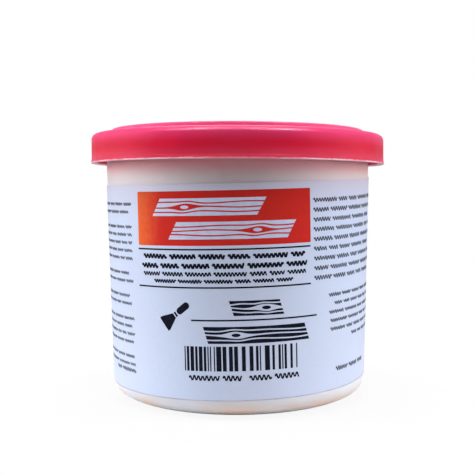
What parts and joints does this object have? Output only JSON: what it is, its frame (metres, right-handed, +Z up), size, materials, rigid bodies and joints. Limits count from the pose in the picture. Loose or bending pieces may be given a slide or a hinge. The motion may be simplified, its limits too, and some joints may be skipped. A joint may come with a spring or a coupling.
{
  "type": "tub of wood filler putty",
  "caption": "Small round plastic tub of wood filler putty with a press-on overhanging lid and a wrap-round printed label; the lid lifts off to reach the putty.",
  "frame": {"origin": "centre of the tub's base, on the surface that it stands on", "axes": "+Z up along the tub's axis, through the lid; -Y towards the middle of the label's printed front; +X to the right of someone facing that front"},
  "size_m": [0.0702, 0.0702, 0.0637],
  "materials": {
    "tub_plastic": "milky natural polypropylene, satin",
    "lid_plastic": "pink-red soft polyethylene, semi-gloss",
    "label_paper": "coated white label paper, printed in red, orange and dark blue",
    "putty_paste": "mahogany-brown wet filler paste"
  },
  "bodies": {
    "tub": {"tub": "tub_plastic", "label": "label_paper", "putty": "putty_paste"},
    "lid": {"lid": "lid_plastic"}
  },
  "joints": [
    {"name": "lid_lift", "type": "slide", "parent": "tub", "child": "lid", "axis": [0, 0, 1], "range_m": [0, 0.06]}
  ]
}
